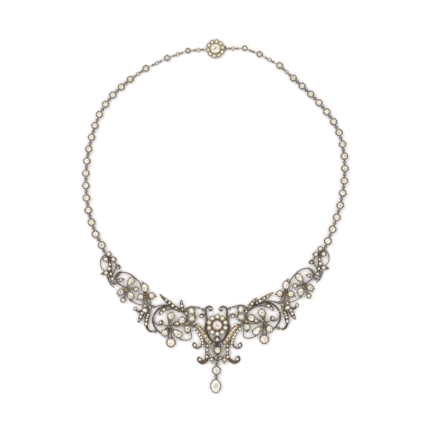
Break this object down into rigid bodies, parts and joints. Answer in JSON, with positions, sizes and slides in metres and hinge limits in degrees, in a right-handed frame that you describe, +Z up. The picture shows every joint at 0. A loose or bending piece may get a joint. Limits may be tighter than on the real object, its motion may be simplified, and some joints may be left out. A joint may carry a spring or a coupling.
{
  "type": "diamond necklace",
  "caption": "Openwork necklace of scrolls, sprays and a flower cluster set with cut stones, with a chain of round collets, a cluster clasp and a two-stone drop.",
  "frame": {"origin": "on the surface that the necklace lies on, under the middle of its outline", "axes": "+Z up from the surface, +Y from the drop at the front to the clasp at the back, +X to the right as seen from above"},
  "size_m": [0.1199, 0.159, 0.0036],
  "materials": {
    "silver": "darkened silver over gold, worn bright on its edges",
    "gold": "old yellow gold, dull",
    "stone": "old cut diamond, polished facets",
    "blush_stone": "cushion cut diamond with a faint blush, polished facets"
  },
  "bodies": {
    "root": {"clasp_frame": "gold", "clasp_tongue": "gold", "clasp_stones": "stone", "back_chain_left": "silver", "back_chain_right": "silver", "back_stones_left": "stone", "back_stones_right": "stone", "collet_chain_left": "silver", "collet_chain_right": "silver", "chain_stones_left": "stone", "chain_stones_right": "stone", "end_sprig_left": "silver", "end_sprig_right": "silver", "sprig_stones_left": "stone", "sprig_stones_right": "stone", "spray_section_left": "silver", "spray_section_right": "silver", "spray_stones_left": "stone", "spray_stones_right": "stone", "scroll_section_left": "silver", "scroll_section_right": "silver", "scroll_stones_left": "stone", "scroll_stones_right": "stone", "centre_section": "silver", "centre_stone": "blush_stone", "centre_cluster_stones": "stone", "centre_scroll_stones": "stone", "joining_rings_left": "silver", "joining_rings_right": "silver", "drop_upper_collet": "silver", "drop_lower_collet": "silver", "drop_rings": "silver", "drop_upper_stone": "stone", "drop_lower_stone": "stone"}
  },
  "joints": []
}
